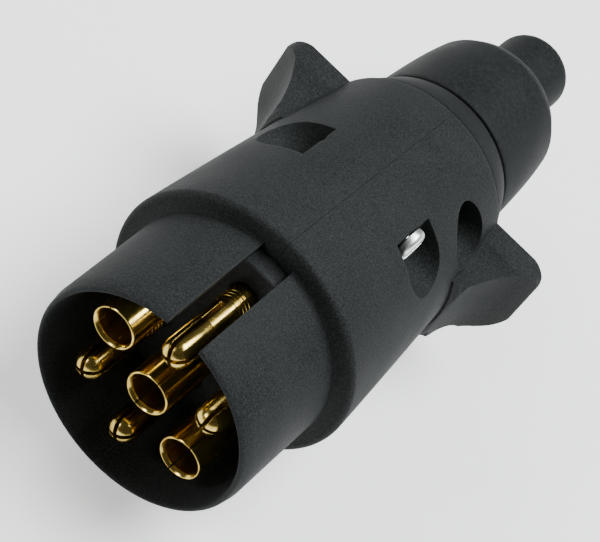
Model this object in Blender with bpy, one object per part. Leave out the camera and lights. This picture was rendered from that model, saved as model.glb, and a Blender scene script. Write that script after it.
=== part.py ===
"""Seven-pole round trailer plug with a keyed shroud, two finger wings and a rubber cable boot.

Everything is laid out in the plug's own frame, in millimetres: Y runs along the plug from the
front rim (y = 0) to the cable outlet, +Z is the keyway side and the wings point along +X and -X.
The empty plug_frame carries that frame into the world, so that the origin is the middle of the
footprint and the plug's lowest line touches z = 0.
"""
import math

import bmesh
import bpy
from mathutils import Matrix, Vector

MM = 0.001

# Driving dimensions, in millimetres
TOTAL_LENGTH = 127.4
SHROUD_R = 21.7
SHROUD_BORE_R = 20.2
COLLAR_Y = 24.9
BODY_R = 25.4
BODY_END_Y = 78.9
WALL = 2.4
SEAM_GAP = 0.15
KEYWAY_WIDTH = 6.8
CLEARANCE = 0.3

CONTACT_CIRCLE_R = 12.4
PIN_R = 2.75
TUBE_R = 4.2
TUBE_BORE_R = 3.4
PIN_TIP_Y = 1.1
TUBE_MOUTH_Y = 2.6

CARRIER_FRONT_Y = 21.0
CARRIER_R = SHROUD_BORE_R - CLEARANCE
CARRIER_FLANGE_Y = 26.3
CARRIER_SPLIT_Y = 30.0
CARRIER_END_Y = 34.0
GROOVE_R = 22.2
FLANGE_R = GROOVE_R - CLEARANCE

BARREL_R = 3.2
BARREL_END_Y = 44.0
CENTRE_BARREL_END_Y = 52.0
WIRE_BORE_R = 1.8

WING_SPAN_X = 31.8
WING_HALF_HEIGHT = 9.0
WING_CORNER_R = 5.0
WING_ROOT_Y = 60.0
WING_PLATE_Y = 73.2
WING_REAR_Y = 78.3
WING_DISH = 1.6

# Screw axes as (y, z), with the floors of the pockets that their heads and nuts sit in
FRONT_SCREW = (50.8, 17.6)
REAR_SCREW = (66.7, 12.8)
POCKET_HALF_WIDTH = 5.4
POCKET_FLOOR_X = 11.0
NUT_SEAT_X = 8.4
REAR_HOLE_R = 5.0
REAR_FLOOR_X = 8.0
REAR_BOSS_END_X = 16.0
SCREW_R = 1.5
SCREW_HEAD_R = 3.3
SCREW_HEAD_HEIGHT = 1.9
NUT_ACROSS_FLATS = 5.5
NUT_HEIGHT = 2.2

CLAMP_Y = (53.0, 60.0)
CLAMP_SCREW_X = 11.5
CABLE_SEAT_R = 5.0

RING_END_Y = 86.6
RING_BORE_R = 14.2
BOOT_FRONT_Y = 87.5
BOOT_R = 16.75
OUTLET_R = 7.9
CABLE_BORE_R = 4.6

ROUND = 48
SMALL_ROUND = 16

# Contact name, angle round the circle in degrees (None in the centre), slit angle, kind
CONTACTS = [
    ("top", 90, 27, "pin"),
    ("upper_left", 150, 124, "tube"),
    ("left", 210, 27, "pin"),
    ("bottom", 270, 27, "pin"),
    ("lower_right", 330, 84, "tube"),
    ("right", 30, 90, "pin"),
    ("centre", None, 80, "tube"),
]


def clear_scene():
    for obj in list(bpy.data.objects):
        bpy.data.objects.remove(obj, do_unlink=True)


def material(name, colour, roughness, metallic=0.0):
    mat = bpy.data.materials.new(name)
    mat.use_nodes = True
    shader = mat.node_tree.nodes["Principled BSDF"]
    shader.inputs["Base Color"].default_value = (*colour, 1.0)
    shader.inputs["Roughness"].default_value = roughness
    shader.inputs["Metallic"].default_value = metallic
    return mat


# Mesh helpers. All of them take millimetres and make meshes in metres.

def finish_mesh(name, bm, location=(0, 0, 0)):
    """Turn bm into an object whose origin is at location, in the plug frame."""
    bmesh.ops.remove_doubles(bm, verts=bm.verts, dist=1e-3)
    bmesh.ops.recalc_face_normals(bm, faces=bm.faces)
    bmesh.ops.transform(bm, matrix=Matrix.Translation(-Vector(location)), verts=bm.verts)
    bmesh.ops.scale(bm, vec=(MM, MM, MM), verts=bm.verts)
    mesh = bpy.data.meshes.new(name)
    bm.to_mesh(mesh)
    bm.free()
    obj = bpy.data.objects.new(name, mesh)
    bpy.context.scene.collection.objects.link(obj)
    obj.location = Vector(location) * MM
    return obj


def turned(name, outline, steps=ROUND, centre=(0, 0), start=0.0, sweep=360.0):
    """Solid made by turning (y, radius) points about the Y axis through centre (x, z).

    A closed outline that starts and ends off the axis makes a ring, and one whose first and last
    points lie on the axis makes a solid bar. A part turn is capped at both ends.
    """
    bm = bmesh.new()
    spin = Matrix.Rotation(math.radians(start), 3, "Y")
    verts = [bm.verts.new(spin @ Vector((radius, y, 0))) for y, radius in outline]
    on_axis = outline[0][1] == 0 and outline[-1][1] == 0
    edges = [bm.edges.new(pair) for pair in zip(verts, verts[1:])]
    if not on_axis:
        edges.append(bm.edges.new((verts[-1], verts[0])))
    geometry = verts + edges
    if sweep < 360:
        geometry.append(bm.faces.new(verts))
    bmesh.ops.spin(bm, geom=geometry, axis=(0, 1, 0), cent=(0, 0, 0),
                   angle=math.radians(sweep), steps=steps)
    bmesh.ops.translate(bm, vec=(centre[0], 0, centre[1]), verts=bm.verts)
    return finish_mesh(name, bm)


def prism(name, outline, low, high, axis):
    """Solid made by pushing a flat outline from low to high along an axis.

    Along X the outline holds (y, z) points, along Y (x, z) points and along Z (x, y) points.
    """
    def point(a, b, depth):
        return {"X": (depth, a, b), "Y": (a, depth, b), "Z": (a, b, depth)}[axis]

    bm = bmesh.new()
    face = bm.faces.new([bm.verts.new(point(a, b, low)) for a, b in outline])
    pushed = bmesh.ops.extrude_face_region(bm, geom=[face])
    top = [item for item in pushed["geom"] if isinstance(item, bmesh.types.BMVert)]
    bmesh.ops.translate(bm, vec=point(0, 0, high - low), verts=top)
    return finish_mesh(name, bm)


def box(name, low, high):
    outline = [(low[0], low[1]), (high[0], low[1]), (high[0], high[1]), (low[0], high[1])]
    return prism(name, outline, low[2], high[2], "Z")


def circle(centre, radius, steps=SMALL_ROUND, start=0.0, sweep=360.0):
    """Points of an arc, or of a whole circle without the doubled last point."""
    count = steps if sweep == 360 else steps + 1
    angles = [math.radians(start + sweep * i / steps) for i in range(count)]
    return [(centre[0] + radius * math.cos(a), centre[1] + radius * math.sin(a)) for a in angles]


def rod(name, centre, radius, low, high, axis, steps=SMALL_ROUND):
    return prism(name, circle(centre, radius, steps), low, high, axis)


def combine(target, tool, operation):
    """Boolean tool into target and keep the result as target's own mesh."""
    modifier = target.modifiers.new("shape", "BOOLEAN")
    modifier.operation = operation
    modifier.solver = "EXACT"
    modifier.object = tool
    bpy.context.view_layer.update()
    graph = bpy.context.evaluated_depsgraph_get()
    mesh = bpy.data.meshes.new_from_object(target.evaluated_get(graph))
    target.modifiers.clear()
    target.data = mesh
    bpy.data.objects.remove(tool, do_unlink=True)


def cut(target, tool):
    combine(target, tool, "DIFFERENCE")


def join(target, tool):
    combine(target, tool, "UNION")


def turn_about_y(obj, degrees, centre=(0, 0)):
    """Turn a mesh about the Y axis through centre (x, z); positive runs from +X to +Z."""
    pivot = Matrix.Translation(Vector((centre[0], 0, centre[1])) * MM)
    obj.data.transform(pivot @ Matrix.Rotation(-math.radians(degrees), 4, "Y") @ pivot.inverted())


def flip_x(obj):
    obj.data.transform(Matrix.Scale(-1, 4, (1, 0, 0)))
    obj.data.flip_normals()


def flip_z(obj):
    obj.data.transform(Matrix.Scale(-1, 4, (0, 0, 1)))
    obj.data.flip_normals()


def finish_piece(obj, mat, frame):
    obj.data.materials.clear()
    obj.data.materials.append(mat)
    for polygon in obj.data.polygons:
        polygon.material_index = 0
    obj.data.shade_smooth()
    obj.data.set_sharp_from_angle(angle=math.radians(35))
    obj.parent = frame


def contact_place(angle):
    if angle is None:
        return (0.0, 0.0)
    turn = math.radians(angle)
    return (CONTACT_CIRCLE_R * math.cos(turn), CONTACT_CIRCLE_R * math.sin(turn))


# Housing

def body_radius(y):
    """Outer radius of the body behind the collar: a long, slightly curved taper."""
    back = y - COLLAR_Y
    return BODY_R - 0.072 * back - 0.00027 * back * back


def body_outline():
    stations = [26.0, 39.0, 52.0, 65.0, 77.6]
    taper = [(y, body_radius(y)) for y in stations]
    front_edge = [(COLLAR_Y, BODY_R - 0.9), (COLLAR_Y + 0.3, BODY_R - 0.3)]
    rear_edge = [(BODY_END_Y - 0.4, body_radius(BODY_END_Y) - 0.2),
                 (BODY_END_Y, body_radius(BODY_END_Y) - 0.7)]
    return front_edge + taper + rear_edge


def shell_outline():
    """Closed section of the housing: shroud, collar, tapering body and the ribs inside it."""
    rim = [(0.35, SHROUD_BORE_R), (0.0, SHROUD_BORE_R + 0.25), (0.0, SHROUD_R - 0.85),
           (0.3, SHROUD_R - 0.5), (2.4, SHROUD_R), (COLLAR_Y, SHROUD_R)]
    carrier_groove = [(CARRIER_END_Y + CLEARANCE, GROOVE_R), (CARRIER_FLANGE_Y - CLEARANCE, GROOVE_R),
                      (CARRIER_FLANGE_Y - CLEARANCE, SHROUD_BORE_R)]
    rib = [(36.5, body_radius(36.5) - WALL), (36.5, 19.5), (CARRIER_END_Y + CLEARANCE, 19.5)]
    ring_seat = [(BODY_END_Y, 17.6), (72.0, 17.6)]
    cavity = [(y, body_radius(y) - WALL) for y in (69.6, 60.0, 48.0)]
    return rim + body_outline() + ring_seat + [(69.6, 17.6)] + cavity + rib + carrier_groove


def filled_body(name):
    """The body's outer form without its hollow, a little undersize, to trim inner blocks."""
    outline = [(y, radius - 0.4) for y, radius in body_outline()[2:-2]]
    first, last = outline[0][0], outline[-1][0]
    return turned(name, [(first, 0)] + outline + [(last, 0)])


def pocket_outline(centre, half_width):
    """U-shaped pocket, round towards z = 0 and running out through the body's top."""
    y, z = centre
    bowl = circle((y, z), half_width, 12, 180, 180)
    return bowl + [(y + half_width, 26.0), (y - half_width, 26.0)]


def wing_solid(name):
    """Finger wing on the +X side: a lug with a scooped front face that starts in a low step round
    the body, round corners and an upper side dished in front of its rear plate."""
    scoop = [(23.1, WING_ROOT_Y), (23.6, 63.0), (24.5, 66.1), (25.9, 69.5), (27.8, 72.4), (30.1, 74.9)]
    tip = [(WING_SPAN_X - 0.5, 76.3), (WING_SPAN_X, 77.3), (WING_SPAN_X - 0.6, WING_REAR_Y)]
    root = [(18.0, WING_REAR_Y), (18.0, WING_ROOT_Y)]
    wing = prism(name, scoop + tip + root, -WING_HALF_HEIGHT, WING_HALF_HEIGHT, "Z")
    x = WING_SPAN_X + 0.2 - WING_CORNER_R
    z = WING_HALF_HEIGHT + 0.1 - WING_CORNER_R
    face = circle((x, z), WING_CORNER_R, 8, 90, -90) + circle((x, -z), WING_CORNER_R, 8, 0, -90)
    face += [(10.0, -z - WING_CORNER_R), (10.0, z + WING_CORNER_R)]
    combine(wing, prism("wing_face", face, 50, 90, "Y"), "INTERSECT")
    half_chord = (WING_PLATE_Y - WING_ROOT_Y) / 2
    dish_r = (half_chord ** 2 + WING_DISH ** 2) / (2 * WING_DISH)
    centre = (WING_ROOT_Y + half_chord, WING_HALF_HEIGHT + dish_r - WING_DISH)
    cut(wing, prism("dish", circle(centre, dish_r, 48, -90), 10, 40, "X"))
    y = WING_ROOT_Y
    root_skin = [(50, 0), (50, 23.02), (y, 23.02), (y + 1, 23.8), (y + 3, 25.8), (y + 7, 36.0)]
    combine(wing, turned("root_skin", root_skin + [(90, 36.0), (90, 0)]), "INTERSECT")
    return wing


def add_screw_walls(shell, side, takes_nuts):
    """Thicken the shell inwards round the screw pockets and bosses of one z side."""
    y, z = FRONT_SCREW
    back = (NUT_SEAT_X if takes_nuts else POCKET_FLOOR_X) - 1.8
    walls = prism("pocket_wall", pocket_outline((y, z), POCKET_HALF_WIDTH + 1.5), back, 24, "X")
    join(walls, rod("front_boss", (y, z), 3.2, SEAM_GAP, back + 1, "X"))
    y, z = REAR_SCREW
    if takes_nuts:
        rear = rod("rear_boss", (y, z), 3.2, SEAM_GAP, REAR_BOSS_END_X, "X")
    else:
        rear = rod("rear_wall", (y, z), REAR_HOLE_R + 1.2, REAR_FLOOR_X - 1.8, 24, "X", 20)
        join(rear, rod("rear_boss", (y, z), 3.2, SEAM_GAP, REAR_FLOOR_X - 1, "X"))
    for block in (walls, rear):
        combine(block, filled_body("trim"), "INTERSECT")
        if side < 0:
            flip_z(block)
        join(shell, block)


def cut_screw_places(shell, side, takes_nuts):
    """Cut the front pocket with its hole, and the rear screw's head hole or blind hole."""
    tools = [prism("pocket", pocket_outline(FRONT_SCREW, POCKET_HALF_WIDTH), POCKET_FLOOR_X, 40, "X"),
             rod("hole", FRONT_SCREW, SCREW_R + CLEARANCE, -1, 20, "X", 12)]
    if takes_nuts:
        tools.append(rod("nut_seat", FRONT_SCREW, NUT_ACROSS_FLATS / math.sqrt(3) + CLEARANCE,
                         NUT_SEAT_X, 20, "X", 6))
        tools.append(rod("rear_hole", REAR_SCREW, SCREW_R + CLEARANCE, -1, 10.6, "X", 12))
    else:
        tools.append(rod("rear_pocket", REAR_SCREW, REAR_HOLE_R, REAR_FLOOR_X, 40, "X", 20))
        tools.append(rod("rear_hole", REAR_SCREW, SCREW_R + CLEARANCE, -1, 20, "X", 12))
    for tool in tools:
        if side < 0:
            flip_z(tool)
        cut(shell, tool)


def housing_half(name, takes_nuts):
    """Half shell on the +X side, with its wing, screw places and clamp ledge.

    The half that takes the nuts has hexagon seats in its front pockets and blind rear bosses.
    The other half has the screw heads, in its front pockets and round rear holes.
    """
    shell = turned(name, shell_outline(), ROUND // 2, start=90, sweep=-180)
    for side in (1, -1):
        add_screw_walls(shell, side, takes_nuts)
    join(shell, wing_solid("wing"))
    ledge = box("ledge", (14.0, CLAMP_Y[0] + 0.5, -13.0), (20.0, CLAMP_Y[1] - 0.5, -8.6))
    join(shell, ledge)
    for side in (1, -1):
        cut_screw_places(shell, side, takes_nuts)
    half_slot = KEYWAY_WIDTH / 2
    cut(shell, box("keyway", (-half_slot, -1, 12), (half_slot, COLLAR_Y, 30)))
    cut(shell, box("seam", (-30, -5, -30), (SEAM_GAP, 95, 30)))
    return shell


# Contacts and the block that carries them

def contact_sizes(kind):
    """Radius in the carrier and radius of the trapped flange."""
    return (TUBE_R, 5.1) if kind == "tube" else (PIN_R, 4.3)


def contact_carrier(name):
    block = turned(name, [(CARRIER_FRONT_Y, 0), (CARRIER_FRONT_Y, CARRIER_R),
                          (CARRIER_FLANGE_Y, CARRIER_R), (CARRIER_FLANGE_Y, FLANGE_R),
                          (CARRIER_SPLIT_Y, FLANGE_R), (CARRIER_SPLIT_Y, 0)])
    for label, angle, _, kind in CONTACTS:
        shank, flange = contact_sizes(kind)
        place = contact_place(angle)
        bore, seat = shank + CLEARANCE, flange + CLEARANCE
        stepped = [(10, 0), (10, bore), (27.6, bore), (27.6, seat), (40, seat), (40, 0)]
        cut(block, turned("bore", stepped, SMALL_ROUND, place))
    return block


def carrier_backplate(name):
    front = CARRIER_SPLIT_Y + CLEARANCE
    plate = turned(name, [(front, 0), (front, FLANGE_R), (CARRIER_END_Y, FLANGE_R),
                          (CARRIER_END_Y, 0)])
    for label, angle, _, kind in CONTACTS:
        cut(plate, rod("bore", contact_place(angle), BARREL_R + CLEARANCE, 20, 40, "Y"))
    return plate


def barrel_outline(end, flange):
    """Flange, terminal barrel and wire bore, from the flange's front to the axis."""
    return [(27.9, flange), (CARRIER_SPLIT_Y - 0.2, flange), (CARRIER_SPLIT_Y - 0.2, BARREL_R),
            (end - 0.4, BARREL_R), (end, BARREL_R - 0.4), (end, WIRE_BORE_R),
            (end - 11.0, WIRE_BORE_R), (end - 11.0, 0)]


def pin_outline(end):
    dome = [(PIN_TIP_Y + PIN_R - PIN_R * math.cos(a), PIN_R * math.sin(a))
            for a in (math.radians(22.5 * i) for i in range(5))]
    dome[0] = (PIN_TIP_Y, 0)
    shank = [(10.2, PIN_R), (10.4, PIN_R - 0.15), (16.4, PIN_R - 0.15), (16.6, PIN_R), (27.9, PIN_R)]
    _, flange = contact_sizes("pin")
    return dome + shank + barrel_outline(end, flange)


def tube_outline(end):
    _, flange = contact_sizes("tube")
    mouth = [(20.0, 0), (20.0, TUBE_BORE_R), (TUBE_MOUTH_Y + 0.6, TUBE_BORE_R),
             (TUBE_MOUTH_Y, TUBE_R - 0.4), (TUBE_MOUTH_Y, TUBE_R - 0.2),
             (TUBE_MOUTH_Y + 0.25, TUBE_R), (27.9, TUBE_R)]
    return mouth + barrel_outline(end, flange)


def screw_station(angle):
    """Y of a contact's terminal screw and the direction that it points out of the barrel."""
    if angle is None:
        return CENTRE_BARREL_END_Y - 4.5, 90
    return BARREL_END_Y - 4.5, angle


def contact(name, angle, slit, kind):
    end = CENTRE_BARREL_END_Y if angle is None else BARREL_END_Y
    place = contact_place(angle)
    if kind == "pin":
        piece = turned(name, pin_outline(end), SMALL_ROUND, place)
        slots = [slit, slit + 90]
        width, depth, reach = 0.8, 15.5, PIN_R + 1
    else:
        piece = turned(name, tube_outline(end), 20, place)
        slots = [slit]
        width, depth, reach = 0.4, 15.0, TUBE_R + 1
    for direction in slots:
        slot = box("slot", (place[0] - reach, -2, place[1] - width / 2),
                   (place[0] + reach, depth, place[1] + width / 2))
        turn_about_y(slot, direction, place)
        cut(piece, slot)
    y, direction = screw_station(angle)
    hole = rod("screw_hole", (y, place[1]), 1.55, place[0], place[0] + 8, "X", 12)
    turn_about_y(hole, direction, place)
    cut(piece, hole)
    return piece


# Fasteners. A screw is made with its axis on Z, its head on top and its origin under the head.

def slotted_screw(name, shank_r, length, head_r, head_height, slot_width):
    """Pan-head screw with a driver slot."""
    outline = [(-length, 0), (-length, shank_r), (0, shank_r), (0, head_r),
               (head_height * 0.4, head_r), (head_height * 0.78, head_r * 0.88),
               (head_height, head_r * 0.6), (head_height, 0)]
    screw = turned(name, outline, 14)
    slot = box("driver_slot", (-head_r - 1, head_height * 0.6, -slot_width / 2),
               (head_r + 1, head_height + 1, slot_width / 2))
    cut(screw, slot)
    screw.data.transform(Matrix.Rotation(math.radians(90), 4, "X"))
    return screw


def point_along(obj, location, direction, spin=0.0):
    """Put obj's origin at location and turn its Z axis to direction."""
    turn = Vector((0, 0, 1)).rotation_difference(Vector(direction))
    obj.rotation_mode = "QUATERNION"
    obj.rotation_quaternion = turn @ Matrix.Rotation(math.radians(spin), 3, "Z").to_quaternion()
    obj.location = Vector(location) * MM


def hex_nut(name, axis_yz, outer_x):
    corner = NUT_ACROSS_FLATS / math.sqrt(3)
    nut = rod(name, axis_yz, corner, outer_x, outer_x + NUT_HEIGHT, "X", 6)
    cut(nut, rod("thread", axis_yz, SCREW_R + CLEARANCE, -30, 0, "X", 12))
    return nut


# Cable clamp, retaining ring and boot

def clamp_bar(name, low_z, high_z, seat_z):
    bar = box(name, (-16.0, CLAMP_Y[0], low_z), (16.0, CLAMP_Y[1], high_z))
    cut(bar, rod("cable_seat", (0, seat_z), CABLE_SEAT_R, 40, 80, "Y", 24))
    y = sum(CLAMP_Y) / 2
    for x in (-CLAMP_SCREW_X, CLAMP_SCREW_X):
        cut(bar, rod("screw_hole", (x, y), SCREW_R + CLEARANCE, -30, 30, "Z", 12))
    return bar


def retaining_ring(name):
    seat = BODY_END_Y + CLEARANCE
    return turned(name, [(73.4, RING_BORE_R), (73.4, 17.3), (seat, 17.3), (seat, 19.6),
                         (seat + 0.5, 20.0), (RING_END_Y - 0.5, 17.35), (RING_END_Y, 17.0),
                         (RING_END_Y, RING_BORE_R)])


def boot_outline():
    """Closed section of the boot: neck in the ring, long dome, outlet and the cable passage."""
    neck_r = RING_BORE_R - CLEARANCE
    neck = [(74.0, 11.2), (74.0, neck_r), (BOOT_FRONT_Y, neck_r)]
    skirt = [(BOOT_FRONT_Y, BOOT_R - 0.5), (BOOT_FRONT_Y + 0.4, BOOT_R), (93.0, 16.5),
             (98.0, 16.15), (103.0, 15.65)]
    shoulder_y, shoulder_r, bend_r = 106.6, 10.6, 4.4
    shoulder = [(shoulder_y + bend_r * math.sin(a), shoulder_r + bend_r * math.cos(a))
                for a in (math.radians(12 + 19.5 * i) for i in range(5))]
    outlet = [(112.6, OUTLET_R), (124.3, OUTLET_R)]
    lip = [(124.3 + 3.1 * math.sin(a), OUTLET_R - 2.4 + 2.4 * math.cos(a))
           for a in (math.radians(30 * i) for i in range(1, 4))]
    passage = [(TOTAL_LENGTH, CABLE_BORE_R), (112.0, CABLE_BORE_R), (106.0, 9.5), (100.0, 11.2)]
    return neck + skirt + shoulder + outlet + lip + passage


def main():
    clear_scene()
    nylon = material("black_nylon", (0.018, 0.020, 0.021), 0.62)
    insulator = material("insulator_black", (0.012, 0.012, 0.012), 0.55)
    brass = material("brass", (0.78, 0.58, 0.22), 0.2, 1.0)
    zinc = material("zinc_plated_steel", (0.72, 0.74, 0.72), 0.3, 1.0)
    rubber = material("black_rubber", (0.02, 0.021, 0.021), 0.7)

    frame = bpy.data.objects.new("plug_frame", None)
    bpy.context.scene.collection.objects.link(frame)
    frame.location = Vector((0, -TOTAL_LENGTH / 2, BODY_R - 0.08)) * MM

    finish_piece(housing_half("housing_right", takes_nuts=False), nylon, frame)
    left = housing_half("housing_left", takes_nuts=True)
    flip_x(left)
    finish_piece(left, nylon, frame)

    finish_piece(contact_carrier("contact_carrier"), insulator, frame)
    finish_piece(carrier_backplate("carrier_backplate"), insulator, frame)
    for label, angle, slit, kind in CONTACTS:
        word = "pin_contact" if kind == "pin" else "socket_contact"
        finish_piece(contact(f"{word}_{label}", angle, slit, kind), brass, frame)

        y, direction = screw_station(angle)
        x, z = contact_place(angle)
        turn = math.radians(direction)
        outward = (math.cos(turn), 0, math.sin(turn))
        seat = BARREL_R + CLEARANCE
        screw = slotted_screw(f"terminal_screw_{label}", 1.25, 2.9, 2.1, 1.4, 0.6)
        point_along(screw, (x + seat * outward[0], y, z + seat * outward[2]), outward)
        finish_piece(screw, zinc, frame)

    for level, side in (("upper", 1), ("lower", -1)):
        for place, (y, z), floor, length in (("front", FRONT_SCREW, POCKET_FLOOR_X, 22.0),
                                             ("rear", REAR_SCREW, REAR_FLOOR_X, 18.0)):
            screw = slotted_screw(f"housing_screw_{place}_{level}", SCREW_R, length,
                                  SCREW_HEAD_R, SCREW_HEAD_HEIGHT, 0.9)
            point_along(screw, (floor + CLEARANCE, y, z * side), (1, 0, 0), 100)
            finish_piece(screw, zinc, frame)
        y, z = FRONT_SCREW
        nut_x = -NUT_SEAT_X - CLEARANCE - NUT_HEIGHT
        nut = hex_nut(f"housing_nut_{level}", (y, z * side), nut_x)
        finish_piece(nut, zinc, frame)

    finish_piece(clamp_bar("cable_clamp_base", -8.3, -2.0, 1.2), nylon, frame)
    finish_piece(clamp_bar("cable_clamp_saddle", 2.0, 6.6, -1.2), nylon, frame)
    for label, x in (("left", -CLAMP_SCREW_X), ("right", CLAMP_SCREW_X)):
        screw = slotted_screw(f"cable_clamp_screw_{label}", SCREW_R, 15.0, 2.8, 2.0, 0.8)
        point_along(screw, (x, sum(CLAMP_Y) / 2, 6.9), (0, 0, 1), 20)
        finish_piece(screw, zinc, frame)

    finish_piece(retaining_ring("retaining_ring"), nylon, frame)
    finish_piece(turned("cable_boot", boot_outline()), rubber, frame)


main()
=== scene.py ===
"""Looks of the seven-pole trailer plug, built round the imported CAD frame.

Shapes are laid out as in the CAD source, in millimetres in the plug's own frame: Y runs along the
plug from the front rim (y = 0) to the cable outlet, +Z is the keyway side and the wings point along
+X and -X. finish_piece carries them into the shared frame, in metres.
"""
import math

import bmesh
import bpy
from mathutils import Matrix, Vector


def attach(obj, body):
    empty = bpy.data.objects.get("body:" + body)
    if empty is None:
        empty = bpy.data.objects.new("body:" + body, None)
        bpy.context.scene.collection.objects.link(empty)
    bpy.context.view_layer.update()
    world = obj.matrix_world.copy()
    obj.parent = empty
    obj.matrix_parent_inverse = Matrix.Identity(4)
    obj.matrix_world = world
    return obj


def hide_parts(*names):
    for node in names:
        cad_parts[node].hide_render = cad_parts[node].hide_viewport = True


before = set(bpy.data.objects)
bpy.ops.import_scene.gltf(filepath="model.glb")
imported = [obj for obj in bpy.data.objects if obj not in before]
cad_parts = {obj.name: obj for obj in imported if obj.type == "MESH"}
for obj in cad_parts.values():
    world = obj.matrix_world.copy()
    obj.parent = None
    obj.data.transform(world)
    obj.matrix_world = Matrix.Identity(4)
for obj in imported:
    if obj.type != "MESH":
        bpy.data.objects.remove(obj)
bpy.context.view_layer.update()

MM = 0.001

# Dimensions of the CAD model, in millimetres
TOTAL_LENGTH = 127.4
SHROUD_R = 21.7
SHROUD_BORE_R = 20.2
COLLAR_Y = 24.9
BODY_R = 25.4
BODY_END_Y = 78.9
WALL = 2.4
HALF_SEAM = 0.05
CARRIER_RIB_END_Y = 36.5
CARRIER_RIB_R = 19.5
RING_SEAT_Y = 72.0
RING_SEAT_R = 17.6
KEYWAY_WIDTH = 6.8
CLEARANCE = 0.3

CONTACT_CIRCLE_R = 12.4
PIN_R = 2.75
TUBE_R = 4.2
TUBE_BORE_R = 3.4
PIN_TIP_Y = 1.1
TUBE_MOUTH_Y = 2.6
PIN_FLANGE_R = 4.3
TUBE_FLANGE_R = 5.1
FLANGE_SEAT_Y = 27.6
FLANGE_Y = 27.9
PIN_SLIT = (0.8, 15.5)
TUBE_SLIT = (0.3, 15.0)

CARRIER_FRONT_Y = 21.0
CARRIER_R = SHROUD_BORE_R - CLEARANCE
CARRIER_FLANGE_Y = 26.3
CARRIER_SPLIT_Y = 30.0
CARRIER_END_Y = 34.0
GROOVE_R = 22.2
FLANGE_R = GROOVE_R - CLEARANCE

BARREL_R = 3.2
BARREL_END_Y = 44.0
CENTRE_BARREL_END_Y = 52.0
WIRE_BORE_R = 1.8
TERMINAL_INSET = 4.5
TERMINAL_HOLE_R = 1.55

WING_SPAN_X = 31.8
WING_HALF_HEIGHT = 9.0
WING_CORNER_R = 5.0
WING_ROOT_Y = 60.0
WING_PLATE_Y = 73.2
WING_REAR_Y = 78.3
WING_DISH = 1.6

FRONT_SCREW = (50.8, 17.6)
REAR_SCREW = (66.7, 12.8)
POCKET_HALF_WIDTH = 5.4
POCKET_FLOOR_X = 11.0
NUT_SEAT_X = 8.4
REAR_HOLE_R = 5.0
REAR_FLOOR_X = 8.0
REAR_BOSS_END_X = 16.0
BLIND_HOLE_END_X = 10.6
BOSS_R = 3.2
FLOOR_WALL = 1.8
SCREW_R = 1.5
SCREW_HEAD_R = 3.3
SCREW_HEAD_HEIGHT = 1.9
NUT_ACROSS_FLATS = 5.5
NUT_HEIGHT = 2.2
HOUSING_SCREW_SPIN = 100

# Shank radius, length, head radius, head height and driver slot width
TERMINAL_SCREW = (1.25, 2.9, 2.1, 1.4, 0.6)
CLAMP_SCREW = (SCREW_R, 15.0, 2.8, 2.0, 0.8)

CLAMP_Y = (53.0, 60.0)
CLAMP_SCREW_X = 11.5
CLAMP_SCREW_SEAT_Z = 6.9
CLAMP_END_X = 16.0
CABLE_SEAT_R = 5.0

RING_END_Y = 86.6
RING_BORE_R = 14.2
BOOT_FRONT_Y = 87.5
BOOT_R = 16.75
OUTLET_R = 7.9
CABLE_BORE_R = 4.6

ROUND = 160
SMALL_ROUND = 48

# Contact name, angle round the circle in degrees (None in the centre), slit angle, kind
CONTACTS = [
    ("top", 90, 27, "pin"),
    ("upper_left", 150, 124, "tube"),
    ("left", 210, 27, "pin"),
    ("bottom", 270, 27, "pin"),
    ("lower_right", 330, 84, "tube"),
    ("right", 30, 90, "pin"),
    ("centre", None, 80, "tube"),
]

WORLD_STRENGTH = 0.07
KEY_POWER = 21.0
FILL_POWER = 4.2
GLINT_POWER = 0.5
RIM_POWER = 0.65
FLOOR_GLOW = 0.6
STUDIO_CENTRE = (0.0, 0.0, 0.02)

# Solved camera, in metres in the shared frame
CAMERA_LENS = 134.65
CAMERA_PLACE = (0.04353, -0.27628, 0.31696)
CAMERA_RIGHT = (0.7106, 0.5759, 0.4042)
CAMERA_BACK = (0.1092, -0.6578, 0.7453)

PLUG_TO_FRAME = Matrix.Translation(Vector((0, -TOTAL_LENGTH / 2, BODY_R - 0.08)) * MM)


# Mesh helpers. All of them take millimetres and make meshes in metres.

def finish_mesh(name, bm):
    bmesh.ops.remove_doubles(bm, verts=bm.verts, dist=1e-4)
    bmesh.ops.recalc_face_normals(bm, faces=bm.faces)
    bmesh.ops.scale(bm, vec=(MM, MM, MM), verts=bm.verts)
    mesh = bpy.data.meshes.new(name)
    bm.to_mesh(mesh)
    bm.free()
    obj = bpy.data.objects.new(name, mesh)
    bpy.context.scene.collection.objects.link(obj)
    return obj


def turned(name, outline, steps=ROUND, centre=(0, 0), start=0.0, sweep=360.0):
    """Solid made by turning (y, radius) points about the Y axis through centre (x, z)."""
    bm = bmesh.new()
    spin = Matrix.Rotation(math.radians(start), 3, "Y")
    verts = [bm.verts.new(spin @ Vector((radius, y, 0))) for y, radius in outline]
    on_axis = outline[0][1] == 0 and outline[-1][1] == 0
    edges = [bm.edges.new(pair) for pair in zip(verts, verts[1:])]
    if not on_axis:
        edges.append(bm.edges.new((verts[-1], verts[0])))
    geometry = verts + edges
    if sweep < 360:
        geometry.append(bm.faces.new(verts))
    bmesh.ops.spin(bm, geom=geometry, axis=(0, 1, 0), cent=(0, 0, 0),
                   angle=math.radians(sweep), steps=steps)
    bmesh.ops.translate(bm, vec=(centre[0], 0, centre[1]), verts=bm.verts)
    return finish_mesh(name, bm)


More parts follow.
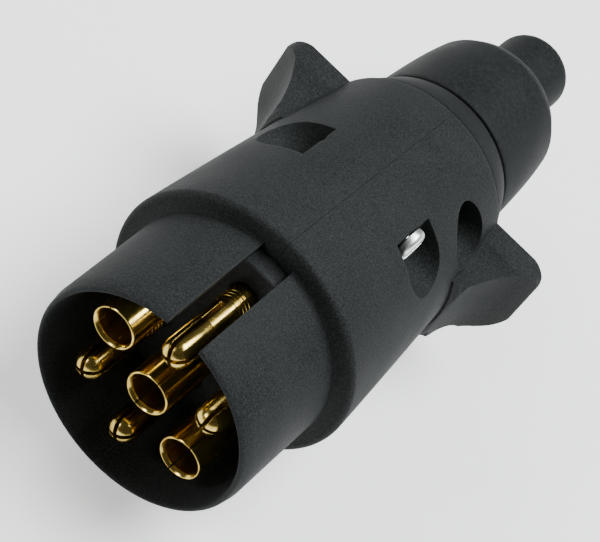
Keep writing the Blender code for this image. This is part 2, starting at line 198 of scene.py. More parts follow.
def prism(name, outline, low, high, axis):
    """Solid made by pushing a flat outline from low to high along an axis.

    Along X the outline holds (y, z) points, along Y (x, z) points and along Z (x, y) points.
    """
    def point(a, b, depth):
        return {"X": (depth, a, b), "Y": (a, depth, b), "Z": (a, b, depth)}[axis]

    bm = bmesh.new()
    face = bm.faces.new([bm.verts.new(point(a, b, low)) for a, b in outline])
    pushed = bmesh.ops.extrude_face_region(bm, geom=[face])
    top = [item for item in pushed["geom"] if isinstance(item, bmesh.types.BMVert)]
    bmesh.ops.translate(bm, vec=point(0, 0, high - low), verts=top)
    return finish_mesh(name, bm)


def box(name, low, high):
    outline = [(low[0], low[1]), (high[0], low[1]), (high[0], high[1]), (low[0], high[1])]
    return prism(name, outline, low[2], high[2], "Z")


def circle(centre, radius, steps=SMALL_ROUND, start=0.0, sweep=360.0):
    """Points of an arc, or of a whole circle without the doubled last point."""
    count = steps if sweep == 360 else steps + 1
    angles = [math.radians(start + sweep * i / steps) for i in range(count)]
    return [(centre[0] + radius * math.cos(a), centre[1] + radius * math.sin(a)) for a in angles]


def rod(name, centre, radius, low, high, axis, steps=SMALL_ROUND):
    return prism(name, circle(centre, radius, steps), low, high, axis)


def combine(target, tool, operation):
    """Boolean tool into target and keep the result as target's own mesh."""
    modifier = target.modifiers.new("shape", "BOOLEAN")
    modifier.operation = operation
    modifier.solver = "EXACT"
    modifier.object = tool
    bpy.context.view_layer.update()
    graph = bpy.context.evaluated_depsgraph_get()
    mesh = bpy.data.meshes.new_from_object(target.evaluated_get(graph))
    target.modifiers.clear()
    target.data = mesh
    bpy.data.objects.remove(tool, do_unlink=True)


def cut(target, tool):
    combine(target, tool, "DIFFERENCE")


def join(target, tool):
    combine(target, tool, "UNION")


def turn_about_y(obj, degrees, centre=(0, 0)):
    """Turn a mesh about the Y axis through centre (x, z); positive runs from +X to +Z."""
    pivot = Matrix.Translation(Vector((centre[0], 0, centre[1])) * MM)
    obj.data.transform(pivot @ Matrix.Rotation(-math.radians(degrees), 4, "Y") @ pivot.inverted())


def flip_x(obj):
    obj.data.transform(Matrix.Scale(-1, 4, (1, 0, 0)))
    obj.data.flip_normals()


def flip_z(obj):
    obj.data.transform(Matrix.Scale(-1, 4, (0, 0, 1)))
    obj.data.flip_normals()


def finish_piece(obj, mat, body, node):
    """Put a finished shape into the shared frame, where it stands for a CAD node."""
    obj.name = node + "_detail"
    obj.data.transform(PLUG_TO_FRAME)
    obj.data.materials.clear()
    obj.data.materials.append(mat)
    for polygon in obj.data.polygons:
        polygon.material_index = 0
    obj.data.shade_smooth()
    obj.data.set_sharp_from_angle(angle=math.radians(32))
    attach(obj, body)
    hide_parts(node)


def contact_place(angle):
    if angle is None:
        return (0.0, 0.0)
    turn = math.radians(angle)
    return (CONTACT_CIRCLE_R * math.cos(turn), CONTACT_CIRCLE_R * math.sin(turn))


def arc_points(centre, radius, start, end, steps):
    """Points (y, radius) of a rounded corner, from one angle to another in degrees."""
    return circle(centre, radius, steps, start, end - start)


# Housing

def body_radius(y):
    back = y - COLLAR_Y
    return BODY_R - 0.072 * back - 0.00027 * back * back


def body_outline():
    taper = [(y, body_radius(y)) for y in (26.1, 32.0, 39.0, 45.5, 52.0, 58.5, 65.0, 71.5, 77.6)]
    front_edge = arc_points((COLLAR_Y + 1.1, BODY_R - 1.18), 1.1, 180, 96, 6)
    corner = 0.7
    rear_edge = arc_points((BODY_END_Y - corner, body_radius(BODY_END_Y) - corner), corner, 82, 0, 5)
    return front_edge + taper + rear_edge


def shell_outline():
    """Closed section of the housing: shroud, collar, tapering body and the ribs inside it."""
    rim = [(2.6, SHROUD_BORE_R + 0.02), (0.5, SHROUD_BORE_R + 0.1), (0.18, SHROUD_BORE_R + 0.22),
           (0.0, SHROUD_BORE_R + 0.42), (0.0, SHROUD_R - 0.95), (0.1, SHROUD_R - 0.72),
           (0.3, SHROUD_R - 0.52), (0.6, SHROUD_R - 0.36), (2.2, SHROUD_R - 0.08),
           (2.6, SHROUD_R), (12.0, SHROUD_R), (COLLAR_Y - 0.5, SHROUD_R),
           (COLLAR_Y - 0.15, SHROUD_R + 0.12), (COLLAR_Y, SHROUD_R + 0.45)]
    carrier_groove = [(CARRIER_END_Y + CLEARANCE, GROOVE_R), (CARRIER_FLANGE_Y - CLEARANCE, GROOVE_R),
                      (CARRIER_FLANGE_Y - CLEARANCE, SHROUD_BORE_R)]
    rib = [(CARRIER_RIB_END_Y, body_radius(CARRIER_RIB_END_Y) - WALL),
           (CARRIER_RIB_END_Y, CARRIER_RIB_R), (CARRIER_END_Y + CLEARANCE, CARRIER_RIB_R)]
    ring_seat = [(BODY_END_Y, RING_SEAT_R), (RING_SEAT_Y, RING_SEAT_R), (69.6, RING_SEAT_R)]
    cavity = [(y, body_radius(y) - WALL) for y in (69.6, 60.0, 48.0)]
    return rim + body_outline() + ring_seat + cavity + rib + carrier_groove


def filled_body(name):
    """The body's outer form without its hollow, a little undersize, to trim inner blocks."""
    outline = [(y, radius - 0.4) for y, radius in body_outline()[7:-6]]
    first, last = outline[0][0], outline[-1][0]
    return turned(name, [(first, 0)] + outline + [(last, 0)])


def pocket_outline(centre, half_width):
    """U-shaped pocket, round towards z = 0 and running out through the body's top."""
    y, z = centre
    bowl = circle((y, z), half_width, 36, 180, 180)
    return bowl + [(y + half_width, 26.0), (y - half_width, 26.0)]


def smooth_curve(points, count):
    """Catmull-Rom curve of count points through the given ones."""
    spans = len(points) - 1
    curve = []
    for i in range(count):
        place = spans * i / (count - 1)
        k = min(int(place), spans - 1)
        t = place - k
        a, b, c, d = (Vector(points[min(max(j, 0), spans)]) for j in (k - 1, k, k + 1, k + 2))
        spot = 0.5 * (2 * b + (c - a) * t + (2 * a - 5 * b + 4 * c - d) * t ** 2
                      + (3 * b - a - 3 * c + d) * t ** 3)
        curve.append(tuple(spot))
    return curve


def wing_solid(name):
    """Finger wing on the +X side: a lug with a scooped front face that starts in a low step round
    the body, round corners and an upper side dished in front of its rear plate."""
    scoop = smooth_curve([(23.1, WING_ROOT_Y), (23.6, 63.0), (24.5, 66.1), (25.9, 69.5), (27.8, 72.4),
                          (30.1, 74.9), (WING_SPAN_X - 0.5, 76.3)], 40)
    tip = [(WING_SPAN_X - 0.1, 76.8), (WING_SPAN_X, 77.3), (WING_SPAN_X - 0.15, 77.9),
           (WING_SPAN_X - 0.6, WING_REAR_Y)]
    root = [(18.0, WING_REAR_Y), (18.0, WING_ROOT_Y)]
    wing = prism(name, scoop + tip + root, -WING_HALF_HEIGHT, WING_HALF_HEIGHT, "Z")
    x = WING_SPAN_X + 0.2 - WING_CORNER_R
    z = WING_HALF_HEIGHT + 0.1 - WING_CORNER_R
    face = circle((x, z), WING_CORNER_R, 20, 90, -90) + circle((x, -z), WING_CORNER_R, 20, 0, -90)
    face += [(10.0, -z - WING_CORNER_R), (10.0, z + WING_CORNER_R)]
    combine(wing, prism("wing_face", face, 50, 90, "Y"), "INTERSECT")
    half_chord = (WING_PLATE_Y - WING_ROOT_Y) / 2
    dish_r = (half_chord ** 2 + WING_DISH ** 2) / (2 * WING_DISH)
    centre = (WING_ROOT_Y + half_chord, WING_HALF_HEIGHT + dish_r - WING_DISH)
    cut(wing, prism("dish", circle(centre, dish_r, 160, -90), 10, 40, "X"))
    y = WING_ROOT_Y
    root_skin = smooth_curve([(y - 0.03, 23.03), (y + 1, 23.8), (y + 3, 25.8), (y + 7, 36.0)], 24)
    root_skin = [(50, 0), (50, 23.03)] + root_skin + [(90, 36.0), (90, 0)]
    combine(wing, turned("root_skin", root_skin, 154), "INTERSECT")
    return wing


def add_screw_walls(shell, side, takes_nuts):
    """Thicken the shell inwards round the screw pockets and bosses of one z side."""
    y, z = FRONT_SCREW
    back = (NUT_SEAT_X if takes_nuts else POCKET_FLOOR_X) - FLOOR_WALL
    walls = prism("pocket_wall", pocket_outline((y, z), POCKET_HALF_WIDTH + 1.5), back, 24, "X")
    join(walls, rod("front_boss", (y, z), BOSS_R, HALF_SEAM, back + 1, "X"))
    y, z = REAR_SCREW
    if takes_nuts:
        rear = rod("rear_boss", (y, z), BOSS_R, HALF_SEAM, REAR_BOSS_END_X, "X")
    else:
        rear = rod("rear_wall", (y, z), REAR_HOLE_R + 1.2, REAR_FLOOR_X - FLOOR_WALL, 24, "X")
        join(rear, rod("rear_boss", (y, z), BOSS_R, HALF_SEAM, REAR_FLOOR_X - 1, "X"))
    for block in (walls, rear):
        combine(block, filled_body("trim"), "INTERSECT")
        if side < 0:
            flip_z(block)
        join(shell, block)


def cut_screw_places(shell, side, takes_nuts):
    """Cut the front pocket with its hole, and the rear screw's head hole or blind hole."""
    hole_r = SCREW_R + CLEARANCE
    tools = [prism("pocket", pocket_outline(FRONT_SCREW, POCKET_HALF_WIDTH), POCKET_FLOOR_X, 40, "X"),
             rod("hole", FRONT_SCREW, hole_r, -1, 20, "X", 32)]
    if takes_nuts:
        tools.append(rod("nut_seat", FRONT_SCREW, NUT_ACROSS_FLATS / math.sqrt(3) + CLEARANCE,
                         NUT_SEAT_X, 20, "X", 6))
        tools.append(rod("rear_hole", REAR_SCREW, hole_r, -1, BLIND_HOLE_END_X, "X", 32))
    else:
        tools.append(rod("rear_pocket", REAR_SCREW, REAR_HOLE_R, REAR_FLOOR_X, 40, "X", 80))
        tools.append(rod("rear_hole", REAR_SCREW, hole_r, -1, 20, "X", 32))
    for tool in tools:
        if side < 0:
            flip_z(tool)
        cut(shell, tool)


def housing_half(name, takes_nuts):
    """Half shell on the +X side, with its wing, screw places and clamp ledge."""
    shell = turned(name, shell_outline(), ROUND // 2, start=90, sweep=-180)
    for side in (1, -1):
        add_screw_walls(shell, side, takes_nuts)
    join(shell, wing_solid("wing"))
    ledge = box("ledge", (14.0, CLAMP_Y[0] + 0.5, -13.0), (20.0, CLAMP_Y[1] - 0.5, -8.6))
    join(shell, ledge)
    for side in (1, -1):
        cut_screw_places(shell, side, takes_nuts)
    half_slot = KEYWAY_WIDTH / 2
    cut(shell, box("keyway", (-half_slot, -1, 12), (half_slot, COLLAR_Y, 30)))
    cut(shell, box("seam", (-30, -5, -30), (HALF_SEAM, 95, 30)))
    return shell


# Contacts and the block that carries them

def contact_sizes(kind):
    """Radius in the carrier and radius of the trapped flange."""
    return (TUBE_R, TUBE_FLANGE_R) if kind == "tube" else (PIN_R, PIN_FLANGE_R)


def contact_carrier(name):
    block = turned(name, [(CARRIER_FRONT_Y, 0), (CARRIER_FRONT_Y, CARRIER_R - 0.3),
                          (CARRIER_FRONT_Y + 0.3, CARRIER_R), (CARRIER_FLANGE_Y, CARRIER_R),
                          (CARRIER_FLANGE_Y, FLANGE_R), (CARRIER_SPLIT_Y, FLANGE_R),
                          (CARRIER_SPLIT_Y, 0)])
    for _, angle, _, kind in CONTACTS:
        shank, flange = contact_sizes(kind)
        bore, seat = shank + CLEARANCE / 2, flange + CLEARANCE
        stepped = [(10, 0), (10, bore + 0.35), (CARRIER_FRONT_Y, bore + 0.35),
                   (CARRIER_FRONT_Y + 0.35, bore), (FLANGE_SEAT_Y, bore), (FLANGE_SEAT_Y, seat),
                   (40, seat), (40, 0)]
        cut(block, turned("bore", stepped, SMALL_ROUND, contact_place(angle)))
    return block


def barrel_outline(end, flange):
    """Flange, terminal barrel and wire bore, from the flange's front to the axis."""
    return [(FLANGE_Y, flange), (CARRIER_SPLIT_Y - 0.2, flange), (CARRIER_SPLIT_Y - 0.2, BARREL_R),
            (end - 0.4, BARREL_R), (end, BARREL_R - 0.4), (end, WIRE_BORE_R + 0.3),
            (end - 0.3, WIRE_BORE_R), (end - 11.0, WIRE_BORE_R), (end - 11.0, 0)]


def pin_outline(end):
    dome = [(PIN_TIP_Y + PIN_R - PIN_R * math.cos(a), PIN_R * math.sin(a))
            for a in (math.radians(9 * i) for i in range(11))]
    dome[0] = (PIN_TIP_Y, 0)
    neck = PIN_R - 0.15
    shank = [(10.1, PIN_R), (10.2, PIN_R - 0.02), (10.35, neck), (16.4, neck), (16.55, PIN_R)]
    for groove_y in (17.1, 17.9, 18.7):
        shank += [(groove_y, PIN_R), (groove_y + 0.1, PIN_R - 0.2),
                  (groove_y + 0.3, PIN_R - 0.2), (groove_y + 0.4, PIN_R)]
    _, flange = contact_sizes("pin")
    return dome + shank + [(FLANGE_Y, PIN_R)] + barrel_outline(end, flange)


def tube_outline(end):
    _, flange = contact_sizes("tube")
    mouth = [(20.0, 0), (20.0, TUBE_BORE_R), (TUBE_MOUTH_Y + 0.75, TUBE_BORE_R),
             (TUBE_MOUTH_Y + 0.6, TUBE_BORE_R + 0.03), (TUBE_MOUTH_Y + 0.1, TUBE_R - 0.4),
             (TUBE_MOUTH_Y, TUBE_R - 0.3), (TUBE_MOUTH_Y, TUBE_R - 0.2),
             (TUBE_MOUTH_Y + 0.08, TUBE_R - 0.08), (TUBE_MOUTH_Y + 0.25, TUBE_R),
             (FLANGE_Y, TUBE_R)]
    return mouth + barrel_outline(end, flange)


def screw_station(angle):
    """Y of a contact's terminal screw and the direction that it points out of the barrel."""
    if angle is None:
        return CENTRE_BARREL_END_Y - TERMINAL_INSET, 90
    return BARREL_END_Y - TERMINAL_INSET, angle


def contact(name, angle, slit, kind):
    end = CENTRE_BARREL_END_Y if angle is None else BARREL_END_Y
    place = contact_place(angle)
    if kind == "pin":
        piece = turned(name, pin_outline(end), SMALL_ROUND, place)
        slots = [slit, slit + 90]
        (width, depth), reach = PIN_SLIT, PIN_R + 1
    else:
        piece = turned(name, tube_outline(end), SMALL_ROUND + 16, place)
        slots = [slit]
        (width, depth), reach = TUBE_SLIT, TUBE_R + 1
    for direction in slots:
        slot = box("slot", (place[0] - reach, -2, place[1] - width / 2),
                   (place[0] + reach, depth, place[1] + width / 2))
        turn_about_y(slot, direction, place)
        cut(piece, slot)
    y, direction = screw_station(angle)
    hole = rod("screw_hole", (y, place[1]), TERMINAL_HOLE_R, place[0], place[0] + 8, "X", 24)
    turn_about_y(hole, direction, place)
    cut(piece, hole)
    return piece


# Fasteners. A screw is made with its axis on Z, its head on top and its origin under the head.

def slotted_screw(name, shank_r, length, head_r, head_height, slot_width):
    """Pan-head screw with a driver slot and rolled thread ridges."""
    thread = [(-length, 0), (-length, shank_r - 0.35)]
    pitch = 0.5
    turns = int((length - 0.8) / pitch)
    for i in range(turns):
        y = -length + 0.1 + i * pitch
        thread += [(y + 0.1, shank_r - 0.28), (y + 0.3, shank_r)]
    low = head_height * 0.4
    crown = [(low + (head_height - low) * math.sin(a), head_r * (0.6 + 0.4 * math.cos(a)))
             for a in (math.radians(10 * i) for i in range(10))]
    head = [(-0.2, shank_r - 0.1), (0, shank_r), (0, head_r - 0.1), (0.12, head_r)] + crown
    screw = turned(name, thread + head + [(head_height, 0)], 40)
    cut(screw, box("driver_slot", (-head_r - 1, head_height * 0.6, -slot_width / 2),
                   (head_r + 1, head_height + 1, slot_width / 2)))
    screw.data.transform(Matrix.Rotation(math.radians(90), 4, "X"))
    return screw


def point_along(obj, location, direction, spin=0.0):
    """Move obj's mesh so that its origin is at location and its Z axis along direction."""
    turn = Vector((0, 0, 1)).rotation_difference(Vector(direction)).to_matrix()
    spun = turn @ Matrix.Rotation(math.radians(spin), 3, "Z")
    obj.data.transform(Matrix.Translation(Vector(location) * MM) @ spun.to_4x4())


def hex_nut(name, axis_yz, outer_x):
    """Hexagon nut with both ends turned down to a circle at the corners."""
    y, z = axis_yz
    corner = NUT_ACROSS_FLATS / math.sqrt(3)
    nut = rod(name, axis_yz, corner, outer_x, outer_x + NUT_HEIGHT, "X", 6)
    flat = NUT_ACROSS_FLATS / 2
    outline = [(0, 0), (0, flat), (0.3, corner), (NUT_HEIGHT - 0.3, corner), (NUT_HEIGHT, flat),
               (NUT_HEIGHT, 0)]
    round_off = turned("round_off", outline, SMALL_ROUND)
    round_off.data.transform(Matrix.Rotation(math.radians(-90), 4, "Z"))
    round_off.data.transform(Matrix.Translation(Vector((outer_x, y, z)) * MM))
    combine(nut, round_off, "INTERSECT")
    cut(nut, rod("thread", axis_yz, SCREW_R + CLEARANCE / 2, -30, 0, "X", 32))
    return nut


# Cable clamp, retaining ring and boot

def clamp_bar(name, low_z, high_z, seat_z):
    """Clamp bar with rounded ends and three grip ridges in its cable seat."""
    corner = 2.0
    outline = []
    for x, y, start in ((CLAMP_END_X - corner, CLAMP_Y[1] - corner, 0),
                        (corner - CLAMP_END_X, CLAMP_Y[1] - corner, 90),
                        (corner - CLAMP_END_X, CLAMP_Y[0] + corner, 180),
                        (CLAMP_END_X - corner, CLAMP_Y[0] + corner, 270)):
        outline += circle((x, y), corner, 8, start, 90)
    bar = prism(name, outline, low_z, high_z, "Z")
    groove = [(40, 0), (40, CABLE_SEAT_R)]
    for ridge_y in (54.3, 56.5, 58.7):
        groove += [(ridge_y - 0.8, CABLE_SEAT_R), (ridge_y, CABLE_SEAT_R - 0.6),
                   (ridge_y + 0.8, CABLE_SEAT_R)]
    groove += [(80, CABLE_SEAT_R), (80, 0)]
    cut(bar, turned("cable_seat", groove, SMALL_ROUND, (0, seat_z)))
    y = sum(CLAMP_Y) / 2
    for x in (-CLAMP_SCREW_X, CLAMP_SCREW_X):
        cut(bar, rod("screw_hole", (x, y), SCREW_R + CLEARANCE, -30, 30, "Z", 32))
    return bar


def retaining_ring(name):
    seat = BODY_END_Y + CLEARANCE
    return turned(name, [(73.4, RING_BORE_R), (73.4, 17.3), (seat, 17.3), (seat, 19.5),
                         (seat + 0.12, 19.75), (seat + 0.4, 19.95), (seat + 0.7, 19.92),
                         (RING_END_Y - 0.3, 17.18), (RING_END_Y - 0.1, 17.05),
                         (RING_END_Y, 16.85), (RING_END_Y, RING_BORE_R)])


def boot_outline():
    """Closed section of the boot: neck in the ring, long dome, outlet and the cable passage."""
    neck_r = RING_BORE_R - CLEARANCE
    neck = [(74.0, 11.2), (74.0, neck_r), (BOOT_FRONT_Y, neck_r)]
    skirt = [(BOOT_FRONT_Y, BOOT_R - 0.6), (BOOT_FRONT_Y + 0.05, BOOT_R - 0.3),
             (BOOT_FRONT_Y + 0.25, BOOT_R - 0.06), (BOOT_FRONT_Y + 0.5, BOOT_R - 0.01)]
    skirt += smooth_curve([(88.6, 16.74), (93.0, 16.5), (98.0, 16.15), (103.0, 15.65),
                           (107.2, 15.02)], 14)
    crease = [(107.45, 14.93), (107.62, 14.78), (107.75, 14.55)]
    shoulder = smooth_curve([(108.6, 14.25), (109.9, 13.5), (111.0, 12.3), (111.7, 10.8),
                             (112.2, 9.3)], 16)
    root = [(112.45, 8.6), (112.8, 8.15), (113.5, OUTLET_R)]
    outlet = [(118.0, OUTLET_R), (124.3, OUTLET_R)]
    lip = [(124.3 + 3.1 * math.sin(a), OUTLET_R - 2.4 + 2.4 * math.cos(a))
           for a in (math.radians(10 * i) for i in range(1, 10))]
    passage = [(TOTAL_LENGTH, CABLE_BORE_R + 0.25), (TOTAL_LENGTH - 0.25, CABLE_BORE_R),
               (112.0, CABLE_BORE_R), (106.0, 9.5), (100.0, 11.2)]
    return neck + skirt + crease + shoulder + root + outlet + lip + passage


# Materials

def add(mat, kind, **settings):
    """New node in the material, with inputs set by name and other settings as attributes."""
    node = mat.node_tree.nodes.new(kind)
    for key, value in settings.items():
        if hasattr(node, key):
            setattr(node, key, value)
        else:
            node.inputs[key.replace("_", " ").title()].default_value = value
    return node


def link(mat, output, socket):
    mat.node_tree.links.new(output, socket)


def noise(mat, scale, detail=2.0, stretch=(1, 1, 1)):
    """Noise value of features 1/scale metres across, drawn out along some axes."""
    place = add(mat, "ShaderNodeTexCoord")
    mapping = add(mat, "ShaderNodeMapping", Scale=stretch)
    grain = add(mat, "ShaderNodeTexNoise", scale=scale, detail=detail)
    link(mat, place.outputs["Object"], mapping.inputs["Vector"])
    link(mat, mapping.outputs["Vector"], grain.inputs["Vector"])
    return grain.outputs["Fac"]


def spread(mat, value, low, high, start=0.35, end=0.65):
    """Map a noise value onto the range from low to high."""
    node = add(mat, "ShaderNodeMapRange")
    for name, number in (("From Min", start), ("From Max", end), ("To Min", low), ("To Max", high)):
        node.inputs[name].default_value = number
    link(mat, value, node.inputs["Value"])
    return node.outputs["Result"]


def blend_colours(mat, factor, first, second):
    """Mix two colours, each either a tuple or a socket."""
    node = add(mat, "ShaderNodeMix", data_type="RGBA")
    link(mat, factor, node.inputs[0])
    for socket, colour in ((node.inputs[6], first), (node.inputs[7], second)):
        if isinstance(colour, tuple):
            socket.default_value = (*colour, 1.0)
        else:
            link(mat, colour, socket)
    return node.outputs[2]


def rounded_normal(mat, radius):
    """Normal that rounds sharp edges by radius metres."""
    node = add(mat, "ShaderNodeBevel", samples=6)
    node.inputs["Radius"].default_value = radius
    return node.outputs["Normal"]


def edge_amount(mat, rounded):
    """0 on flat ground and towards 1 on sharp edges, where handling polishes a surface and where a
    painted highlight is laid.
    """
    geometry = add(mat, "ShaderNodeNewGeometry")
    dot = add(mat, "ShaderNodeVectorMath", operation="DOT_PRODUCT")
    link(mat, rounded, dot.inputs[0])
    link(mat, geometry.outputs["Normal"], dot.inputs[1])
    return spread(mat, dot.outputs["Value"], 1.0, 0.0, 0.75, 0.99)


def bump(mat, height, strength, distance, normal=None):
    node = add(mat, "ShaderNodeBump", strength=strength, distance=distance)
    link(mat, height, node.inputs["Height"])
    if normal is not None:
        link(mat, normal, node.inputs["Normal"])
    return node.outputs["Normal"]


def start_material(name, metallic=0.0, specular=0.5):
    mat = bpy.data.materials.new(name)
    mat.use_nodes = True
    shader = mat.node_tree.nodes["Principled BSDF"]
    shader.inputs["Metallic"].default_value = metallic
    shader.inputs["Specular IOR Level"].default_value = specular
    return mat, shader


def moulded_plastic(name, dark, light, pale_grain_wear_and_highlight, rough, grain_scale, grain, edge_radius):
    """Black moulded plastic or rubber: eroded mould grain, cloudy sheen, and paler edges that are
    partly handling wear and partly a painted highlight.
    """
    mat, shader = start_material(name, specular=0.06)
    rounded = rounded_normal(mat, edge_radius)
    cloud = noise(mat, 90, 3)
    fine = noise(mat, grain_scale, 3)
    speck = noise(mat, grain_scale * 0.45, 2)
    colour = blend_colours(mat, spread(mat, cloud, 0, 1), dark, light)
    colour = blend_colours(mat, spread(mat, fine, 0, 0.5, 0.42, 0.72), colour, pale_grain_wear_and_highlight)
    # Paler colour on sharp edges: partly handling wear, partly a painted highlight standing in for
    # the lit rounded edges of the rim and collar
    edge = edge_amount(mat, rounded)
    wear_and_highlight = add(mat, "ShaderNodeMath", operation="MULTIPLY")
    link(mat, edge, wear_and_highlight.inputs[0])
    link(mat, spread(mat, noise(mat, 400, 4), 0.35, 1.0), wear_and_highlight.inputs[1])
    colour = blend_colours(mat, wear_and_highlight.outputs["Value"], colour, pale_grain_wear_and_highlight)
    link(mat, colour, shader.inputs["Base Color"])
    smear = add(mat, "ShaderNodeMath", operation="ADD")
    link(mat, spread(mat, cloud, rough[0], rough[1]), smear.inputs[0])
    link(mat, spread(mat, fine, -0.06, 0.06), smear.inputs[1])
    link(mat, smear.outputs["Value"], shader.inputs["Roughness"])
    coarse = bump(mat, speck, grain * 0.6, 0.00012, rounded)
    link(mat, bump(mat, fine, grain, 0.00008, coarse), shader.inputs["Normal"])
    return mat


def turned_metal(name, bright, dull, rough, lines, line_strength, stretch, edge_radius=0.00008):
    """Metal with fine tool lines across the stretch axis, faint staining and bright edges."""
    mat, shader = start_material(name, metallic=1.0)
    rounded = rounded_normal(mat, edge_radius)
    stain = noise(mat, 350, 4)
    tool = noise(mat, lines, 2, stretch)
    colour = blend_colours(mat, spread(mat, stain, 0, 1, 0.4, 0.75), bright, dull)
    colour = blend_colours(mat, spread(mat, tool, 0, 0.5, 0.45, 0.7), colour, dull)
    link(mat, colour, shader.inputs["Base Color"])
    smear = add(mat, "ShaderNodeMath", operation="ADD")
    link(mat, spread(mat, stain, rough[0], rough[1]), smear.inputs[0])
    link(mat, spread(mat, tool, -0.03, 0.04), smear.inputs[1])
    link(mat, smear.outputs["Value"], shader.inputs["Roughness"])
    link(mat, bump(mat, tool, line_strength, 0.00001, rounded), shader.inputs["Normal"])
    return mat


def floor_material():
    mat, shader = start_material("studio_floor", specular=0.2)
    cloud = noise(mat, 6, 3)
    colour = blend_colours(mat, spread(mat, cloud, 0, 1), (0.93, 0.93, 0.93), (0.95, 0.95, 0.95))
    link(mat, colour, shader.inputs["Base Color"])
    shader.inputs["Roughness"].default_value = 0.9
    shader.inputs["Emission Color"].default_value = (1.0, 1.0, 1.0, 1.0)
    shader.inputs["Emission Strength"].default_value = FLOOR_GLOW
    return mat


# Studio

def add_camera():
    """Camera that was solved for the rim, the keyway, the contact circle and the outline."""
    camera = bpy.data.cameras.new("camera")
    camera.sensor_width = 36.0
    camera.lens = CAMERA_LENS
    camera.clip_start = 0.01
    obj = bpy.data.objects.new("camera", camera)
    bpy.context.scene.collection.objects.link(obj)
    right = Vector(CAMERA_RIGHT).normalized()
    back = Vector(CAMERA_BACK).normalized()
    up = back.cross(right).normalized()
    right = up.cross(back)
    turn = Matrix((right, up, back)).transposed()
    obj.matrix_world = Matrix.Translation(CAMERA_PLACE) @ turn.to_4x4()
    bpy.context.scene.camera = obj


def add_area_light(name, location, target, size, power, colour=(1, 1, 1)):
    light = bpy.data.lights.new(name, "AREA")
    light.shape = "DISK"
    light.size = size
    light.energy = power
    light.color = colour
    obj = bpy.data.objects.new(name, light)
    bpy.context.scene.collection.objects.link(obj)
    obj.location = location
    aim = Vector(target) - Vector(location)
    obj.rotation_euler = aim.to_track_quat("-Z", "Y").to_euler()


def add_studio():
    world = bpy.data.worlds.new("studio")
    world.use_nodes = True
    background = world.node_tree.nodes["Background"]
    background.inputs["Color"].default_value = (1.0, 1.0, 1.0, 1.0)
    background.inputs["Strength"].default_value = WORLD_STRENGTH
    bpy.context.scene.world = world
    add_area_light("key_light", (0.32, 0.3, 0.92), STUDIO_CENTRE, 0.75, KEY_POWER,
                   (0.96, 0.985, 1.0))
    add_area_light("fill_light", (-0.68, 0.26, 0.6), STUDIO_CENTRE, 0.6, FILL_POWER)
    add_area_light("right_glint", (0.36, -0.12, 0.85), STUDIO_CENTRE, 0.2, GLINT_POWER)
    add_area_light("rim_light", (-0.26, -0.36, 0.24), STUDIO_CENTRE, 0.12, RIM_POWER)

    bm = bmesh.new()
    bmesh.ops.create_circle(bm, cap_ends=True, segments=96, radius=3000)
    floor = finish_mesh("studio_floor", bm)
    floor.data.materials.append(floor_material())


def build_housing(nylon, smooth):
    right = housing_half("housing_right", takes_nuts=False)
    left = housing_half("housing_left", takes_nuts=True)
    flip_x(left)
    finish_piece(right, nylon, "cover", "housing_right")
    finish_piece(left, nylon, "plug", "housing_left")
    ring = retaining_ring("ring")
    # The ring takes the darker nylon copy, whose darker tone is painted shade
    finish_piece(ring, smooth, "boot", "retaining_ring")
    base = clamp_bar("base", -8.3, -2.0, 1.2)
    finish_piece(base, nylon, "plug", "cable_clamp_base")
    saddle = clamp_bar("saddle", 2.0, 6.6, -1.2)
    finish_piece(saddle, nylon, "clamp_saddle", "cable_clamp_saddle")


def build_contacts(brass, zinc):
    for label, angle, slit, kind in CONTACTS:
        word = "pin_contact" if kind == "pin" else "socket_contact"
        node = f"{word}_{label}"
        finish_piece(contact(node, angle, slit, kind), brass, "plug", node)

        y, direction = screw_station(angle)
        x, z = contact_place(angle)
        turn = math.radians(direction)
        outward = (math.cos(turn), 0, math.sin(turn))
        seat = BARREL_R + CLEARANCE
        node = f"terminal_screw_{label}"
        screw = slotted_screw(node, *TERMINAL_SCREW)
        point_along(screw, (x + seat * outward[0], y, z + seat * outward[2]), outward)
        finish_piece(screw, zinc, node, node)


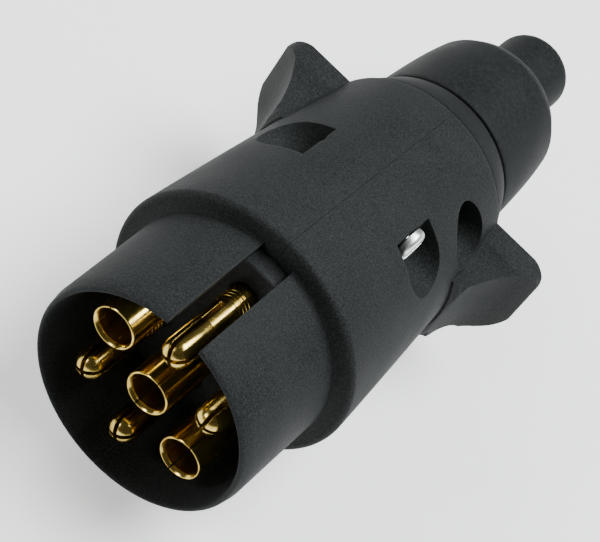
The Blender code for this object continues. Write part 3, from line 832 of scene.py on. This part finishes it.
def build_fasteners(zinc):
    for level, side in (("upper", 1), ("lower", -1)):
        for place, (y, z), floor, length in (("front", FRONT_SCREW, POCKET_FLOOR_X, 22.0),
                                             ("rear", REAR_SCREW, REAR_FLOOR_X, 18.0)):
            node = f"housing_screw_{place}_{level}"
            screw = slotted_screw(node, SCREW_R, length, SCREW_HEAD_R, SCREW_HEAD_HEIGHT, 0.9)
            point_along(screw, (floor + CLEARANCE, y, z * side), (1, 0, 0), HOUSING_SCREW_SPIN)
            finish_piece(screw, zinc, node, node)
        y, z = FRONT_SCREW
        node = f"housing_nut_{level}"
        nut = hex_nut(node, (y, z * side), -NUT_SEAT_X - CLEARANCE - NUT_HEIGHT)
        finish_piece(nut, zinc, "plug", node)
    for label, x in (("left", -CLAMP_SCREW_X), ("right", CLAMP_SCREW_X)):
        node = f"cable_clamp_screw_{label}"
        screw = slotted_screw(node, *CLAMP_SCREW)
        point_along(screw, (x, sum(CLAMP_Y) / 2, CLAMP_SCREW_SEAT_Z), (0, 0, 1), 20)
        finish_piece(screw, zinc, f"clamp_screw_{label}", node)


def main():
    nylon = moulded_plastic("black_nylon", (0.011, 0.0125, 0.0125), (0.015, 0.017, 0.017),
                            (0.055, 0.06, 0.059), rough=(0.56, 0.66), grain_scale=3600,
                            grain=1.0, edge_radius=0.0003)
    insulator = moulded_plastic("insulator_black", (0.014, 0.0155, 0.0155), (0.02, 0.022, 0.022),
                                (0.05, 0.054, 0.054), rough=(0.4, 0.5), grain_scale=3500,
                                grain=0.2, edge_radius=0.0002)
    # Darker copy of the black nylon with finer grain for the retaining ring; its darker tone is
    # painted shade
    smooth = moulded_plastic("smooth_nylon_painted_shade", (0.0085, 0.0097, 0.0097), (0.0115, 0.013, 0.013),
                             (0.035, 0.038, 0.038), rough=(0.58, 0.68), grain_scale=2600,
                             grain=0.4, edge_radius=0.0003)
    rubber = moulded_plastic("black_rubber", (0.011, 0.0125, 0.0125), (0.014, 0.016, 0.016),
                             (0.03, 0.032, 0.032), rough=(0.56, 0.66), grain_scale=1500,
                             grain=0.2, edge_radius=0.0003)
    brass = turned_metal("turned_brass", (0.74, 0.55, 0.135), (0.46, 0.31, 0.065), rough=(0.13, 0.24),
                         lines=2600, line_strength=0.3, stretch=(1, 0.05, 1), edge_radius=0.00012)
    zinc = turned_metal("zinc_plate", (0.84, 0.87, 0.84), (0.68, 0.71, 0.69), rough=(0.3, 0.42),
                        lines=2500, line_strength=0.2, stretch=(1, 0.15, 1))
    build_housing(nylon, smooth)
    build_contacts(brass, zinc)
    build_fasteners(zinc)
    carrier = contact_carrier("carrier")
    finish_piece(carrier, insulator, "plug", "contact_carrier")
    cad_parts["carrier_backplate"].data.materials[0] = insulator
    boot = turned("boot", boot_outline())
    finish_piece(boot, rubber, "boot", "cable_boot")
    add_studio()
    add_camera()


main()
